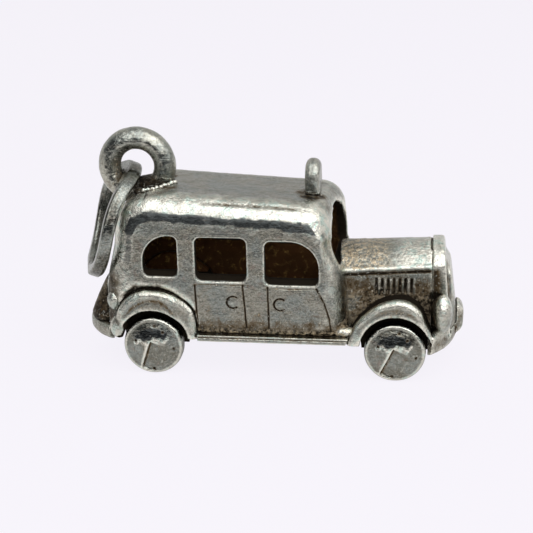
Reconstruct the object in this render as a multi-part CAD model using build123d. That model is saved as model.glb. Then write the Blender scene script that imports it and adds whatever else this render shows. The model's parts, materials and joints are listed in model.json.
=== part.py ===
"""A small cast silver bracelet charm in the form of an old taxi cab, in millimetres.

Frame: +X is forward, +Y is the cab's left side, +Z is up. The origin is on the floor,
under the middle of the whole charm, and the charm stands on its four wheels.
"""
from build123d import *
import os

# ---- wheels and axles ----
wheel_radius = 1.85
wheel_width = 1.0
tyre_round = 0.3  # rounding of the wheel's outer edge
hub_radius = 1.42  # raised disc on the wheel's face
hub_rise = 0.16
hub_round = 0.12
slot_width = 0.3
slot_depth = 0.22
slot_angle = 25.0  # degrees that the slot leans from straight down, to the rear
wheelbase = 14.7
rear_axle_x = -6.6
track_outer = 8.7  # over the wheels' rims
axle_radius = 0.35
axle_play = 0.04  # radial gap between axle and lug
axle_pass = 0.1  # radial gap where the axle passes a wing
axle_seat = 0.6  # depth of the axle's blind seat in each wheel
well_gap_side = 0.35  # from a wheel's inner face to its well's wall
well_gap_round = 0.28  # from a wheel's tread to its arch
well_wall = 0.35
well_lift = 0.2  # height of the arch's centre over the axle

# ---- cab ----
cab_width = 7.6
cab_wall = 0.7
cab_round = 1.5  # rounding along the roof edges and upright corners
board_top = 2.65  # height where the doors meet the running boards
roof_front = 10.6
roof_rear = 11.35
cab_front_foot = 5.3
cab_front_waist = 5.03
cab_front_head = 4.6
cab_back_head = -8.75
cab_back_waist = -9.06
cab_back_foot = -9.66
waist_front = 6.6
waist_back = 7.8
tail_height = 5.4
screen_bend = 3.0  # roundings of the cab's side outline, from its foot over the roof
roof_front_bend = 1.6
roof_rear_bend = 2.5
back_bend = 1.5

window_corner = 0.35
# ---- side windows: rear x, front x, sill z, head z, rear and front roundings of the head ----
WINDOWS = (
    (-7.05, -4.97, 6.26, 8.8, 1.55, window_corner),
    (-3.87, -0.79, 6.04, 8.76, window_corner, window_corner),
    (0.33, 3.52, 5.88, 8.6, window_corner, 1.7),
)
screen_width = 5.5
screen_sill = 6.85
screen_side = 0.4  # height of the windscreen's straight sides, under its arch
screen_head = 9.95
screen_reach = 1.2  # how far back the windscreen's opening cuts into the roof
back_window_width = 2.4
back_window_sill = 7.7
back_window_head = 9.1

# ---- floor and running boards ----
board_thickness = 0.4
board_width = 8.3
board_round = 0.15
floor_thickness = 0.5
lug_length = 1.5
lug_drop = 0.55  # lug material under the axle

# ---- bonnet and radiator, placed from the front axle ----
bonnet_rear_width = 4.6
bonnet_front_width = 4.2
bonnet_shoulder_rear = 6.36
bonnet_shoulder_front = 6.66
bonnet_crown = 1.1  # rise of the bonnet's middle over its shoulders
radiator_ahead = 2.12  # from the front axle to the radiator's back
radiator_depth_head = 0.72
radiator_depth_foot = 1.2
radiator_width = 4.4
radiator_rise = 0.13  # radiator's top over the bonnet's
radiator_foot = 2.2
radiator_round = 0.45  # rounding of the shell's crest
grille_bulge = 0.42
grille_side = 0.4  # shell showing beside, over and under the grille
grille_head = 0.75
louvre_count = 7
louvre_first = -1.2  # from the front axle
louvre_pitch = 0.35
louvre_sill = 4.95
louvre_head = 5.9
louvre_width = 0.14
louvre_depth = 0.12

# ---- wings: each row is ahead of the axle, height, rounding ----
wing_width = 8.5
wing_round = 0.36
wing_floor = board_top - board_thickness
wing_lip = 0.6  # width of the raised lip along a front wing's outer edge
wing_dip = 0.25  # how far the front wing's top lies under its lip
REAR_WING = (
    (2.75, wing_floor, 0),
    (2.6, 4.15, 1.3),
    (1.0, 5.4, 2.6),
    (-1.0, 5.42, 1.7),
    (-2.15, 4.3, 1.8),
    (-2.35, 3.0, 1.6),
    (-1.9, wing_floor, 0),
)
FRONT_WING = (
    (2.2, wing_floor, 0),
    (2.15, 3.0, 1.0),
    (1.55, 4.6, 1.7),
    (0.5, 5.3, 1.4),
    (-1.0, 4.97, 2.4),
    (-2.35, 3.75, 2.4),
    (-2.95, wing_floor, 0),
)

# ---- lamps, bumpers, boot, sign ----
headlamp_radius = 0.84
headlamp_ahead = 3.2  # from the front axle to the lamp's nose
headlamp_length = 1.5
headlamp_nose = 0.6  # length of the lamp's rounded nose
nose_bend = 1.02  # bends of the lamp's nose and tail, as shares of its radius
tail_bend = 1.2
headlamp_y = 2.65
headlamp_z = 4.25
bumper_ahead = 3.7  # from the front axle to the blade's middle
bumper_sweep = 1.5  # how far the blade's ends lie behind its middle
bumper_half_span = 3.7
bumper_thickness = 1.0
bumper_tip = 0.3  # thickness at the ends
bumper_low = 1.5
bumper_high = 2.85
bumper_round = 0.4
boss_width = 1.7  # the upright block in the front bumper's middle
boss_depth = 1.3
boss_proud = 0.4  # how far it stands ahead of the blade
boss_low = 1.95
boss_high = 3.75
boss_round = 0.55
rear_bumper_behind = 4.75  # from the rear axle to the rear blade's middle
rear_bumper_sweep = 1.8
rear_bumper_half_span = 3.2
rear_bumper_low = 1.75
rear_bumper_high = 2.7
boot_half_width = 2.5
boot_round = 0.5  # rounding along the boot's top edges
boot_corner = 1.3  # rounding of its rear corners, seen from above
BOOT = (  # each row is behind the cab's foot, height, rounding
    (0.15, 5.5, 1.5),
    (0.65, 4.5, 1.5),
    (1.35, 2.95, 0.6),
)
boot_head = 6.6
tail_lamp_radius = 0.5
tail_lamp_half_height = 0.72
tail_lamp_x = -9.0
tail_lamp_y = 3.3
tail_lamp_z = 4.5
sign_x = 2.93
sign_thickness = 0.92
sign_width = 2.0
sign_top = 12.72
sign_round = 0.3
sign_arch = 0.95  # rounding of the sign's head, as a share of its half width

# ---- bail and jump ring ----
bail_x = -7.93
bail_z = 12.13
bail_mean_radius = 1.735
bail_tube_radius = 0.685
ring_wire = 0.8
ring_edge = 0.2  # rounding of the wire's four edges
ring_mean_radius = 3.4
ring_hang_x = -8.22  # centre of the ring's wire where it passes through the bail
ring_hang_z = 11.87
ring_lean = 24.2  # degrees from hanging straight down, to the rear
ring_turn = 15.0  # degrees about the upright
ring_bow = 0.65  # how far the ring is bent out of flat

# ---- picking edges, and running cuts past what they cut ----
same = 1e-6
edge_gap = 0.05
past = 1.0

front_axle_x = rear_axle_x + wheelbase
radiator_back = front_axle_x + radiator_ahead
bumper_front_x = front_axle_x + bumper_ahead
rim_y = track_outer / 2
wheel_inner_y = rim_y - wheel_width
well_wall_y = wheel_inner_y - well_gap_side
arch_radius = wheel_radius + well_gap_round
half_cab = cab_width / 2
half_wing = wing_width / 2
wing_inner_y = well_wall_y - well_wall


def outline(plane, rows):
    """A closed face of straight runs, each row being a corner and its rounding."""
    with BuildSketch(plane) as sketch:
        with BuildLine():
            FilletPolyline(
                *[(a, b) for a, b, _ in rows],
                radius=[corner for _, _, corner in rows],
                close=True,
            )
        make_face()
    return sketch.sketch


def side_prism(rows, low_y, high_y):
    """An outline in X and Z, solid between two values of Y."""
    return extrude(outline(Plane.XZ.offset(-high_y), rows), amount=high_y - low_y)


def front_prism(rows, low_x, high_x):
    """An outline in Y and Z, solid between two values of X."""
    return extrude(outline(Plane.YZ.offset(low_x), rows), amount=high_x - low_x)


def plan_prism(rows, low_z, high_z):
    """An outline in X and Y, solid between two values of Z."""
    return extrude(outline(Plane.XY.offset(low_z), rows), amount=high_z - low_z)


def across(x, z, radius, low_y, high_y):
    """A round bar along Y."""
    bar = Cylinder(radius, high_y - low_y, rotation=(90, 0, 0))
    return Pos(x, (low_y + high_y) / 2, z) * bar


def mirrored(shape):
    """The same piece on the cab's other side."""
    return mirror(shape, about=Plane.XZ)


def cab_block(inset, foot):
    """The cab's outer form, or its hollow when inset by the wall."""
    rows = [
        (cab_front_foot, foot, 0),
        (cab_front_waist, waist_front, screen_bend),
        (cab_front_head, roof_front, roof_front_bend + inset),
        (cab_back_head, roof_rear, roof_rear_bend),
        (cab_back_waist, waist_back, back_bend),
        (cab_back_foot, tail_height, back_bend),
        (cab_back_foot, foot, 0),
    ]
    face = outline(Plane.XZ, rows)
    if inset > 0:
        face = offset(face, -inset)
    half = half_cab - inset
    block = extrude(face, amount=half, both=True)
    rim = [
        edge
        for edge in block.edges()
        if abs(abs(edge.center().Y) - half) < same
        and edge.center().Z > board_top + edge_gap
    ]
    return fillet(rim, cab_round - inset)


def window_cuts():
    """Prisms through both side walls, one a window."""
    cuts = []
    for rear, front, sill, head, rear_top, front_top in WINDOWS:
        rows = [
            (rear, sill, window_corner),
            (front, sill, window_corner),
            (front, head, front_top),
            (rear, head, rear_top),
        ]
        cuts.append(side_prism(rows, -half_cab - past, half_cab + past))
    return cuts


def windscreen_cut():
    """The windscreen's opening: straight sides under a round arch."""
    half = screen_width / 2
    side_head = screen_sill + screen_side
    with BuildSketch(Plane.YZ.offset(cab_front_head - screen_reach)) as sketch:
        with BuildLine():
            arch = ThreePointArc((-half, side_head), (0, screen_head), (half, side_head))
            Polyline(arch @ 1, (half, screen_sill), (-half, screen_sill), arch @ 0)
        make_face()
    return extrude(sketch.sketch, amount=screen_reach + 2 * (cab_front_foot - cab_front_head))


def placed(table, x):
    """A table's rows with their first column measured from x."""
    return [(x + ahead, z, corner) for ahead, z, corner in table]


def wheel_well(x):
    """The space of one wheel, open below, on the cab's left side."""
    centre_z = wheel_radius + well_lift
    outer_y = half_wing + past
    top = across(x, centre_z, arch_radius, well_wall_y, outer_y)
    below = Pos(x, (well_wall_y + outer_y) / 2, centre_z / 2) * Box(
        2 * arch_radius, outer_y - well_wall_y, centre_z
    )
    return top + below


def wing(rows, x, inner_y, lip_width, dip):
    """A left wing with its wheel's well: a rounded outer lip, and a lower top behind it."""
    lip = side_prism(rows, half_wing - lip_width, half_wing)
    rim = [
        edge
        for edge in lip.edges()
        if abs(edge.center().Y - half_wing) < same and edge.center().Z > wing_floor + edge_gap
    ]
    block = fillet(rim, wing_round)
    if dip > 0:
        low_rows = [(x_row, z - dip if z > wing_floor else z, corner) for x_row, z, corner in rows]
        block += side_prism(low_rows, inner_y, half_wing - lip_width)
    hole = across(x, wheel_radius, axle_radius + axle_pass, 0, half_wing)
    return block - wheel_well(x) - hole


def wheel():
    """One left wheel about the Y axis through its own centre: tyre, hub disc and slot."""
    tyre = across(0, 0, wheel_radius, 0, wheel_width)
    outer = tyre.edges().filter_by(GeomType.CIRCLE).sort_by(Axis.Y)[-1]
    tyre = fillet(outer, tyre_round)
    hub = across(0, 0, hub_radius, axle_seat, wheel_width + hub_rise)
    hub_edge = hub.edges().filter_by(GeomType.CIRCLE).sort_by(Axis.Y)[-1]
    hub = fillet(hub_edge, hub_round)
    slot = Pos(0, wheel_width + hub_rise, -hub_radius / 2) * Box(
        slot_width, 2 * slot_depth, hub_radius
    )
    seat = across(0, 0, axle_radius, -past, axle_seat)
    return tyre + hub - Rot(0, slot_angle, 0) * slot - seat


def crescent(front_x, end_x, thickness, tip, half_span, low, high):
    """A bumper bowed in plan, thick in the middle, its long edges rounded."""
    ahead = 1 if front_x > end_x else -1
    inner_span = half_span - tip
    with BuildSketch(Plane.XY.offset(low)) as sketch:
        with BuildLine():
            outer = ThreePointArc((end_x, -half_span), (front_x, 0), (end_x, half_span))
            Line(outer @ 1, (end_x - ahead * tip, inner_span))
            inner = ThreePointArc(
                (end_x - ahead * tip, inner_span),
                (front_x - ahead * thickness, 0),
                (end_x - ahead * tip, -inner_span),
            )
            Line(inner @ 1, outer @ 0)
        make_face()
    bar = extrude(sketch.sketch, amount=high - low)
    rim = [
        edge
        for edge in bar.edges().filter_by(GeomType.CIRCLE)
        if edge.length > 2 * half_span
    ]
    return fillet(rim, bumper_round)


def headlamp():
    """A left headlamp: a round nose and a shorter round tail, about the X axis."""
    nose_x = front_axle_x + headlamp_ahead
    face_x = nose_x - headlamp_nose
    tail_x = nose_x - headlamp_length
    with BuildSketch(Plane.XZ) as sketch:
        with BuildLine():
            nose = RadiusArc((nose_x, 0), (face_x, headlamp_radius), -nose_bend * headlamp_radius)
            tail = RadiusArc((face_x, headlamp_radius), (tail_x, 0), -tail_bend * headlamp_radius)
            Line(tail @ 1, nose @ 0)
        make_face()
    return Pos(0, headlamp_y, headlamp_z) * revolve(sketch.sketch, Axis.X)


def jump_ring():
    """A bowed, nearly square wire ring, hanging from its wire's centre at the origin."""
    half = ring_wire / 2
    bend = (ring_mean_radius**2 + ring_bow**2) / (2 * ring_bow)
    reach = 2 * (ring_mean_radius + ring_wire)
    washer = Cylinder(ring_mean_radius + half, reach, rotation=(0, 90, 0)) - Cylinder(
        ring_mean_radius - half, 2 * reach, rotation=(0, 90, 0)
    )
    sheet = Pos(bend - ring_bow, 0, 0) * (
        Cylinder(bend + half, reach, rotation=(90, 0, 0))
        - Cylinder(bend - half, 2 * reach, rotation=(90, 0, 0))
    )
    near = Box(4 * ring_bow + 2 * ring_wire, 2 * reach, 2 * reach)
    ring = washer & sheet & near
    ring = fillet(ring.edges(), ring_edge)
    return Pos(0, 0, -ring_mean_radius) * ring


def arched_face(x, half, foot, shoulder, rise):
    """An upright section at x with straight sides and a crowned top."""
    with BuildSketch(Plane.YZ.offset(x)) as sketch:
        with BuildLine():
            crown = ThreePointArc((-half, shoulder), (0, shoulder + rise), (half, shoulder))
            Polyline(crown @ 1, (half, foot), (-half, foot), crown @ 0)
        make_face()
    return sketch.sketch


def bonnet():
    """The bonnet's block, its crowned top rising to the radiator, with its louvres."""
    rear = arched_face(
        cab_front_head, bonnet_rear_width / 2, board_top, bonnet_shoulder_rear, bonnet_crown
    )
    front = arched_face(
        radiator_back, bonnet_front_width / 2, board_top, bonnet_shoulder_front, bonnet_crown
    )
    block = loft([rear, front], ruled=True)
    taper = (bonnet_rear_width - bonnet_front_width) / (radiator_back - cab_front_head) / 2
    for number in range(louvre_count):
        x = front_axle_x + louvre_first + number * louvre_pitch
        half = bonnet_front_width / 2 + taper * (radiator_back - x)
        for side in (-1, 1):
            block -= Pos(x, side * half, (louvre_sill + louvre_head) / 2) * Box(
                louvre_width, 2 * louvre_depth, louvre_head - louvre_sill
            )
    return block


def radiator():
    """The radiator's leaning shell with its grille bulging forward."""
    half = radiator_width / 2
    shoulder = bonnet_shoulder_front + radiator_rise
    top = shoulder + bonnet_crown
    head_x = radiator_back + radiator_depth_head
    foot_x = radiator_back + radiator_depth_foot
    shell = extrude(
        arched_face(radiator_back, half, radiator_foot, shoulder, bonnet_crown),
        amount=2 * radiator_depth_foot,
    )
    shell &= side_prism(
        [
            (radiator_back, radiator_foot, 0),
            (radiator_back, top, 0),
            (head_x, top, radiator_round),
            (foot_x, radiator_foot, 0),
        ],
        -half,
        half,
    )
    inner = half - grille_side
    grille_foot = radiator_foot + grille_side
    grille_top = top - grille_head
    bow = (inner**2 + grille_bulge**2) / (2 * grille_bulge)
    front_x = foot_x + grille_bulge
    grille = extrude(
        arched_face(radiator_back, inner, grille_foot, grille_top - bonnet_crown, bonnet_crown),
        amount=2 * radiator_depth_foot,
    )
    grille &= side_prism(
        [
            (radiator_back, grille_foot, 0),
            (radiator_back, grille_top, 0),
            (head_x, grille_top, 0),
            (head_x + grille_bulge, grille_top - 2 * grille_bulge, grille_bulge),
            (front_x, grille_foot, 0),
        ],
        -half,
        half,
    )
    grille &= Pos(front_x - bow, 0, (grille_foot + grille_top) / 2) * Cylinder(bow, top)
    return shell + grille


def boot():
    """The boot: a rounded tail from the cab's back down to the rear bumper."""
    x = cab_back_foot
    tail_x = x - BOOT[-1][0]
    rows = [(cab_back_waist, boot_head, 0)]
    rows += [(x - behind, z, corner) for behind, z, corner in BOOT]
    rows += [(tail_x, rear_bumper_high, 0), (cab_back_waist, rear_bumper_high, 0)]
    block = side_prism(rows, -boot_half_width, boot_half_width)
    rim = [
        edge
        for edge in block.edges()
        if abs(abs(edge.center().Y) - boot_half_width) < same
        and edge.center().Z > rear_bumper_high + edge_gap
        and edge.center().X < cab_back_waist - edge_gap
    ]
    plan_rows = [
        (cab_back_waist, -boot_half_width, 0),
        (cab_back_waist, boot_half_width, 0),
        (tail_x, boot_half_width, boot_corner),
        (tail_x, -boot_half_width, boot_corner),
    ]
    return fillet(rim, boot_round) & plan_prism(plan_rows, rear_bumper_high, boot_head)


def tail_lamp():
    """An upright egg, about its own middle."""
    with BuildSketch(Plane.XZ) as sketch:
        with BuildLine():
            side = ThreePointArc(
                (0, -tail_lamp_half_height), (tail_lamp_radius, 0), (0, tail_lamp_half_height)
            )
            Line(side @ 1, side @ 0)
        make_face()
    return revolve(sketch.sketch, Axis.Z)


def roof_sign():
    """A blank upright plate with a rounded head."""
    half = sign_width / 2
    rows = [
        (-half, roof_front - cab_wall, 0),
        (half, roof_front - cab_wall, 0),
        (half, sign_top, half * sign_arch),
        (-half, sign_top, half * sign_arch),
    ]
    half_thick = sign_thickness / 2
    plate = front_prism(rows, sign_x - half_thick, sign_x + half_thick)
    faces = plate.faces().filter_by(Axis.X)
    rim = [
        edge
        for face in faces
        for edge in face.edges()
        if edge.center().Z > roof_front
    ]
    return fillet(rim, sign_round)


def axle_carrier(x, half_length):
    """A bar under the body, bored across for one axle."""
    low = wheel_radius - axle_radius - lug_drop
    bar = Pos(x, 0, (low + board_top) / 2) * Box(lug_length, 2 * half_length, board_top - low)
    return bar - across(x, wheel_radius, axle_radius + axle_play, -half_length, half_length)


# ---- the fixed body ----
cab_outer = cab_block(0, board_top)
rear_wing_rows = placed(REAR_WING, rear_axle_x)
front_wing_rows = placed(FRONT_WING, front_axle_x)
rear_wing_space = side_prism(rear_wing_rows, wing_inner_y, half_wing + past)

cab_shell = cab_outer - cab_block(cab_wall, board_top - 2 * cab_wall)
for cut in window_cuts():
    cab_shell -= cut
cab_shell -= windscreen_cut()
back_rows = [
    (-back_window_width / 2, back_window_sill, window_corner),
    (back_window_width / 2, back_window_sill, window_corner),
    (back_window_width / 2, back_window_head, window_corner),
    (-back_window_width / 2, back_window_head, window_corner),
]
cab_shell -= front_prism(back_rows, cab_back_foot - past, cab_back_waist + 2 * cab_wall)
cab_shell = cab_shell - rear_wing_space - mirrored(rear_wing_space)

floor_half = half_cab - cab_wall
floor_rear = cab_back_foot + cab_wall
floor_front = cab_front_foot - cab_wall
floor_plate = Pos((floor_rear + floor_front) / 2, 0, board_top + floor_thickness / 2) * Box(
    floor_front - floor_rear, 2 * floor_half, floor_thickness
)
floor_plate &= cab_block(cab_wall, board_top - 2 * cab_wall)
floor_plate = floor_plate - rear_wing_space - mirrored(rear_wing_space)

radiator_solid = radiator()
bonnet_solid = bonnet() - cab_outer
front_wing = wing(front_wing_rows, front_axle_x, bonnet_front_width / 2, wing_lip, wing_dip)
front_wing = front_wing - cab_outer - bonnet_solid - radiator_solid
rear_wing = wing(rear_wing_rows, rear_axle_x, wing_inner_y, half_wing - wing_inner_y, 0)
boot_solid = boot() - cab_outer
both_rear_wings = rear_wing + mirrored(rear_wing)
boot_solid = boot_solid - both_rear_wings

board_rows = [
    (rear_axle_x, wing_inner_y, 0),
    (front_axle_x, wing_inner_y, 0),
    (front_axle_x, board_width / 2, board_round),
    (rear_axle_x, board_width / 2, board_round),
]
running_board = plan_prism(board_rows, board_top - board_thickness, board_top)
for rows in (rear_wing_rows, front_wing_rows):
    running_board -= side_prism(rows, 0, half_wing + past)

bumper_front = crescent(
    bumper_front_x, bumper_front_x - bumper_sweep, bumper_thickness, bumper_tip,
    bumper_half_span, bumper_low, bumper_high,
)
boss = Pos(
    bumper_front_x + boss_proud - boss_depth / 2, 0, (boss_low + boss_high) / 2
) * Box(boss_depth, boss_width, boss_high - boss_low)
boss_front = boss.faces().sort_by(Axis.X)[-1]
bumper_front += fillet(boss_front.edges(), boss_round)
bumper_front = bumper_front - radiator_solid - front_wing - mirrored(front_wing)
rear_bumper_x = rear_axle_x - rear_bumper_behind
bumper_rear = crescent(
    rear_bumper_x, rear_bumper_x + rear_bumper_sweep, bumper_thickness, bumper_tip,
    rear_bumper_half_span, rear_bumper_low, rear_bumper_high,
)
bumper_rear -= cab_outer
lamp = headlamp() - radiator_solid - front_wing
rear_lamp = Pos(tail_lamp_x, tail_lamp_y, tail_lamp_z) * tail_lamp()
rear_lamp = rear_lamp - cab_outer - rear_wing - boot_solid
sign = roof_sign() - cab_outer
bail = Pos(bail_x, 0, bail_z) * Torus(bail_mean_radius, bail_tube_radius, rotation=(90, 0, 0))
bail -= cab_outer

nodes = {
    "cab_shell": cab_shell,
    "floor_plate": floor_plate,
    "bonnet": bonnet_solid,
    "radiator": radiator_solid,
    "front_bumper": bumper_front,
    "rear_bumper": bumper_rear,
    "boot": boot_solid,
    "roof_sign": sign,
    "bail_loop": bail,
    "axle_carrier_front": axle_carrier(front_axle_x, bonnet_front_width / 2),
    "axle_carrier_rear": axle_carrier(rear_axle_x, wing_inner_y),
}
for name, piece in (
    ("front_wing", front_wing),
    ("rear_wing", rear_wing),
    ("running_board", running_board),
    ("headlamp", lamp),
    ("tail_lamp", rear_lamp),
):
    nodes[name + "_left"] = piece
    nodes[name + "_right"] = mirrored(piece)

# ---- the two wheelsets and the jump ring ----
for end, x in (("front", front_axle_x), ("rear", rear_axle_x)):
    tip = wheel_inner_y + axle_seat
    nodes["axle_" + end] = across(x, wheel_radius, axle_radius, -tip, tip)
    left_wheel = Pos(x, wheel_inner_y, wheel_radius) * wheel()
    nodes[f"wheel_{end}_left"] = left_wheel
    nodes[f"wheel_{end}_right"] = mirrored(left_wheel)
nodes["jump_ring"] = (
    Pos(ring_hang_x, 0, ring_hang_z) * Rot(0, 0, ring_turn) * Rot(0, ring_lean, 0) * jump_ring()
)

os.makedirs("parts", exist_ok=True)
for name, shape in nodes.items():
    export_step(shape, f"parts/{name}.step")
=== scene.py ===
"""The finish of a small cast silver taxi cab charm, dressed over its solids.

Pieces are shaped in millimetres and brought to metres when they are finished, in the
solids' own frame: +X forward, +Y the cab's left side, +Z up, the floor at Z = 0.
"""

import json
import math

import bpy
import numpy as np
from mathutils import Matrix, Vector
from mathutils.bvhtree import BVHTree

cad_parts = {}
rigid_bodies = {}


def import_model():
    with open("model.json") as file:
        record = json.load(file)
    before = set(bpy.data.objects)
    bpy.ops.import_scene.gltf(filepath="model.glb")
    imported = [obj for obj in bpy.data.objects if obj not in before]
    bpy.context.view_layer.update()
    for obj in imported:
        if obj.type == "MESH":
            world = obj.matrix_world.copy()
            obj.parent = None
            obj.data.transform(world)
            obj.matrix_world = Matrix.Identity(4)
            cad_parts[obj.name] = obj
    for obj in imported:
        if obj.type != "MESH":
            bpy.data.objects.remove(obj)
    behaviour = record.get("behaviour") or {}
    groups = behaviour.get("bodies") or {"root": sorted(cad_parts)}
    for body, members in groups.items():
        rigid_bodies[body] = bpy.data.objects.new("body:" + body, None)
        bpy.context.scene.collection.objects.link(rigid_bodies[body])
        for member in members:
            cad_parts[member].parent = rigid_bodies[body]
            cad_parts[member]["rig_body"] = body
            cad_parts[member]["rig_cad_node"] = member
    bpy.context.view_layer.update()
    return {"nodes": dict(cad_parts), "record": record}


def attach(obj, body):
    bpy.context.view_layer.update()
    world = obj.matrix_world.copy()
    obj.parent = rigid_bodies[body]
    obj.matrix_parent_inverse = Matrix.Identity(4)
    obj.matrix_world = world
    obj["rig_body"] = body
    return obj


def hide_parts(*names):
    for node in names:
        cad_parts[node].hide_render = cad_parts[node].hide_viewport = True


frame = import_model()
nodes = frame["nodes"]


# ---- The cab ----
# The cab's body is the heart of the casting: one skin of sterling silver, poured round
# its window openings, rubbed bright and painted with highlights on the roof's edges, with a
# painted dark reflection under them, and black with tarnish and painted shade inside.
MM = 0.001
SAME_PLACE = 0.0005  # points nearer than this are one point
HALF_CAB = 3.8
WALL = 0.7
WALL_Y = 3.3  # how far out the windows' ledges and the front pillars' feet sit
CAB_CORNER = 1.5
ROOF_LINE = ((-9.5, 11.38), (4.6, 10.6))  # x and z of the roof's middle line
FRONT_LINE = ((2.65, 5.3), (6.6, 5.03), (10.6, 4.6))  # z and x of the front
BACK_LINE = ((2.65, -9.66), (5.4, -9.66), (7.8, -9.06), (11.35, -8.75))  # z and x
FRONT_CORNER = (4.0, -3.1, 9.95)  # the roof's right front corner
FRONT_SKEW = 0.62  # how far the front's right side was pulled back in the casting
SKEW_FROM, SKEW_TO = 3.4, 4.9  # x, from where the pull sets in to where it is full
ROOF_SKEW_LEAD = 2.4  # how much sooner the pull sets in along the roof's edge
SCREEN_HALF = 2.75  # half the windscreen's width, over which the pull grows
WINDOWS = (  # rear and front x, sill and head z, roundings of the head's rear and front
    (-7.05, -4.97, 6.26, 8.8, 1.55, 0.35),
    (-3.87, -0.79, 6.04, 8.76, 0.35, 0.35),
    (0.33, 3.52, 5.88, 8.6, 0.35, 1.7),
)
DOOR_LINES = (
    ((-3.94, 5.75), (-3.88, 4.2), (-3.83, 2.75)),
    ((-1.04, 5.8), (-0.93, 4.4), (-0.84, 2.95)),
    ((0.47, 5.75), (0.5, 4.4), (0.52, 2.95)),
    ((3.4, 5.7), (3.86, 4.79), (4.16, 3.81), (4.28, 2.9)),
)
HANDLES = ((-1.64, 4.73), (1.22, 4.65))
HANDLE_RADIUS = 0.38
SILL_ROUND = 0.35
CREASE = (  # the black line where the rear wing meets the side
    (-8.3, 4.95), (-7.62, 5.5), (-6.14, 5.5), (-5.33, 5.12), (-4.53, 4.5), (-4.1, 4.0),
)
# painted highlights down the front and rear pillars
HIGHLIGHT_PILLARS = (
    ((3.85, 8.4), (4.2, 7.0), (4.3, 6.4)),
    ((-8.45, 9.0), (-8.65, 7.8), (-8.9, 6.8)),
)
# a painted dark reflection down the front pillar
DARK_REFLECTION_PILLAR = ((4.3, 9.0), (4.8, 6.5), (5.0, 4.0))
CAB_MIDDLE = (-2.0, 0.0, 7.0)
REAR_ROOF = (-7.0, 8.9)  # behind this x and over this z the roof's corner is thick metal
SILL_SHADOW = 0.06  # how deep in a wall's opening the polish ends and the painted shade begins


def only(piece):
    """Selects one piece alone and makes it the active one."""
    bpy.ops.object.select_all(action="DESELECT")
    piece.select_set(True)
    bpy.context.view_layer.objects.active = piece


def finish_with(piece, kind, **settings):
    """Adds a modifier to a piece and applies it."""
    only(piece)
    modifier = piece.modifiers.new(kind.lower(), kind)
    for name, value in settings.items():
        setattr(modifier, name, value)
    bpy.ops.object.modifier_apply(modifier=modifier.name)


def copy_of_solid(node, name):
    """A node's skin as a piece of its own, closed and in millimetres."""
    piece = nodes[node].copy()
    piece.data = nodes[node].data.copy()
    piece.name = piece.data.name = name
    piece.parent = None
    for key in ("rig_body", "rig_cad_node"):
        del piece[key]
    bpy.context.scene.collection.objects.link(piece)
    piece.data.materials.clear()
    piece.data.transform(Matrix.Scale(1 / MM, 4))
    only(piece)
    bpy.ops.object.mode_set(mode="EDIT")
    bpy.ops.mesh.select_all(action="SELECT")
    bpy.ops.mesh.remove_doubles(threshold=SAME_PLACE)
    bpy.ops.mesh.normals_make_consistent(inside=False)
    bpy.ops.object.mode_set(mode="OBJECT")
    return piece


def join(piece, *others):
    """Joins other shells into a piece."""
    only(piece)
    for other in others:
        other.select_set(True)
    bpy.ops.object.join()


def melt(piece, grain, softness, swell=0.04, lump=1.1):
    """Runs all of a piece's shells into one even skin, softened and a little uneven."""
    finish_with(piece, "REMESH", mode="VOXEL", voxel_size=grain)
    finish_with(piece, "SMOOTH", factor=0.5, iterations=softness)
    for strength, scale in ((swell, lump), (swell * 0.4, lump * 0.3)):
        cloud = bpy.data.textures.new("uneven pour", "CLOUDS")
        cloud.noise_scale = scale
        finish_with(
            piece,
            "DISPLACE",
            texture=cloud,
            texture_coords="LOCAL",
            strength=strength,
            mid_level=0.5,
        )


def slab(low, high):
    """A plain block between two corners, to be melted into a piece."""
    bpy.ops.object.select_all(action="DESELECT")
    bpy.ops.mesh.primitive_cube_add(size=1)
    block = bpy.context.object
    block.data.transform(
        Matrix.Translation((Vector(low) + Vector(high)) / 2)
        @ Matrix.Diagonal((*(Vector(high) - Vector(low)), 1))
    )
    return block


def bead(place, sizes, name="bead"):
    """A drop of metal, to be melted into a piece."""
    bpy.ops.object.select_all(action="DESELECT")
    bpy.ops.mesh.primitive_ico_sphere_add(subdivisions=3, radius=1)
    drop = bpy.context.object
    drop.name = name
    drop.data.transform(Matrix.Translation(place) @ Matrix.Diagonal((*sizes, 1)))
    return drop


def points_of(piece):
    """A mesh's points and their outward directions, one row a point."""
    count = len(piece.data.vertices)
    points, outward = np.empty(count * 3), np.empty(count * 3)
    piece.data.vertices.foreach_get("co", points)
    piece.data.vertices.foreach_get("normal", outward)
    return points.reshape(-1, 3), outward.reshape(-1, 3)


def put_points(piece, points):
    """Writes a mesh's points back."""
    piece.data.vertices.foreach_set("co", points.astype(np.float32).ravel())
    piece.data.update()


def layer(piece, name, values=None):
    """Reads or writes one number a point, kept with the mesh for its material."""
    held = piece.data.attributes.get(name) or piece.data.attributes.new(name, "FLOAT", "POINT")
    if values is not None:
        held.data.foreach_set("value", values.astype(np.float32))
        return values
    values = np.empty(len(piece.data.vertices))
    held.data.foreach_get("value", values)
    return values


def step(low, high, value):
    """Runs smoothly from 0 at low to 1 at high."""
    share = np.clip((value - low) / (high - low), 0, 1)
    return share * share * (3 - 2 * share)


def fading(distance, width):
    """1 at no distance, falling off as a bell over a width."""
    return np.exp(-((distance / width) ** 2))


def off_line(points, line, axis):
    """How far each point is from a broken line, seen along an axis."""
    flat = np.delete(points, axis, axis=1)
    nearest = np.full(len(flat), 1e9)
    for start, end in zip(line[:-1], line[1:]):
        start, run = np.array(start), np.array(end) - np.array(start)
        share = np.clip(((flat - start) @ run) / (run @ run), 0, 1)
        nearest = np.minimum(nearest, np.linalg.norm(flat - start - share[:, None] * run, axis=1))
    return nearest


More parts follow.
